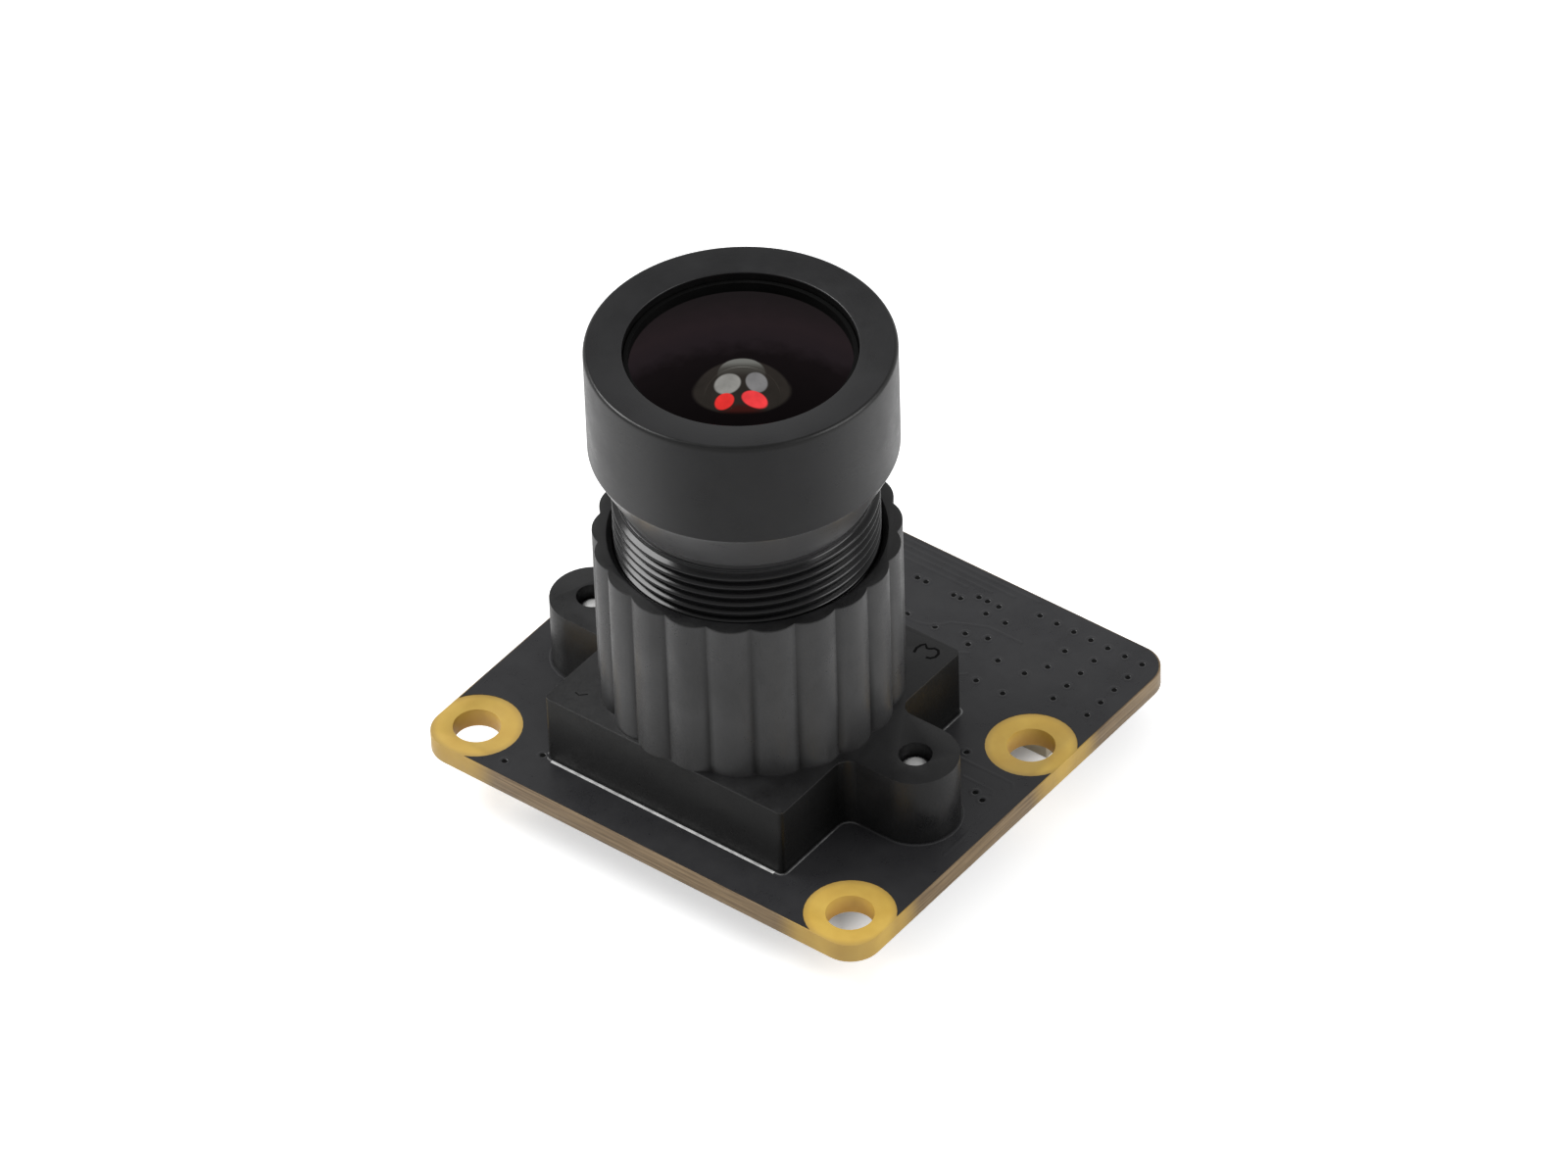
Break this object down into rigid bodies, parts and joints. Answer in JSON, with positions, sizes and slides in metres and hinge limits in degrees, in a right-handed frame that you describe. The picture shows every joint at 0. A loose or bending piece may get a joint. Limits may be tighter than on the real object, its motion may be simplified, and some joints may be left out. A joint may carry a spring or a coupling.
{
  "type": "camera module",
  "caption": "Board camera with a screw-in wide-angle lens in a fluted plastic holder and a flat-cable connector under the rear edge.",
  "frame": {"origin": "below the middle of the board, level with the lowest face of the cable connector", "axes": "+Z along the lens axis, out of the front glass; +Y from the lens end of the board to the cable connector's end; +X along the board's edge, to the right when seen from the front with +Y up"},
  "size_m": [0.025, 0.024, 0.0265],
  "materials": {
    "board": "satin black solder mask on glass-fibre laminate",
    "holder": "black moulded plastic, fine matt skin",
    "screws": "plain steel",
    "barrel": "black anodised, satin",
    "inner_rings": "black anodised, matt",
    "stop": "matt black",
    "lens_glass": "polished and coated",
    "filter_glass": "polished, pink infrared coating",
    "sensor_ceramic": "matt dark ceramic",
    "sensor_silicon": "polished silicon",
    "sensor_window": "clear",
    "connector_body": "ivory moulded plastic",
    "connector_slider": "dark brown moulded plastic",
    "contact_metal": "gold flashed",
    "tab_metal": "tinned",
    "oscillator_case": "grey ceramic and metal lid",
    "chip_case": "black moulding compound",
    "capacitor_body": "tan ceramic with tinned ends",
    "resistor_body": "black film on white ceramic"
  },
  "bodies": {
    "board_and_holder": {"circuit_board": "board", "lens_holder": "holder", "holder_screws": "screws", "infrared_filter": "filter_glass", "sensor_package": "sensor_ceramic", "sensor_die": "sensor_silicon", "sensor_glass": "sensor_window", "connector_housing": "connector_body", "connector_contacts": "contact_metal", "connector_tabs": "tab_metal", "clock_oscillator": "oscillator_case", "voltage_regulators": "chip_case", "ceramic_capacitors": "capacitor_body", "chip_resistors": "resistor_body"},
    "lens_carriage": {"aperture_stop": "stop"},
    "lens": {"lens_barrel": "barrel", "front_retaining_ring": "inner_rings", "front_glass": "lens_glass", "top_spacer": "inner_rings", "second_glass": "lens_glass", "middle_spacer": "inner_rings", "doublet_front_glass": "lens_glass", "doublet_rear_glass": "lens_glass"},
    "latch": {"connector_latch": "connector_slider"}
  },
  "joints": [
    {"name": "focus_travel", "type": "slide", "parent": "board_and_holder", "child": "lens_carriage", "axis": [0, 0, 1], "range_m": [-0.002, 0.002]},
    {"name": "focus_turn", "type": "hinge", "parent": "lens_carriage", "child": "lens", "pos_m": [0, -0.0031, 0], "axis": [0, 0, 1], "range_deg": [-1440, 1440]},
    {"name": "latch_slide", "type": "slide", "parent": "board_and_holder", "child": "latch", "axis": [0, 1, 0], "range_m": [0, 0.001]}
  ],
  "couplings": [
    {"joint": "focus_turn", "follows": "focus_travel", "rad_per_m": 12566}
  ]
}
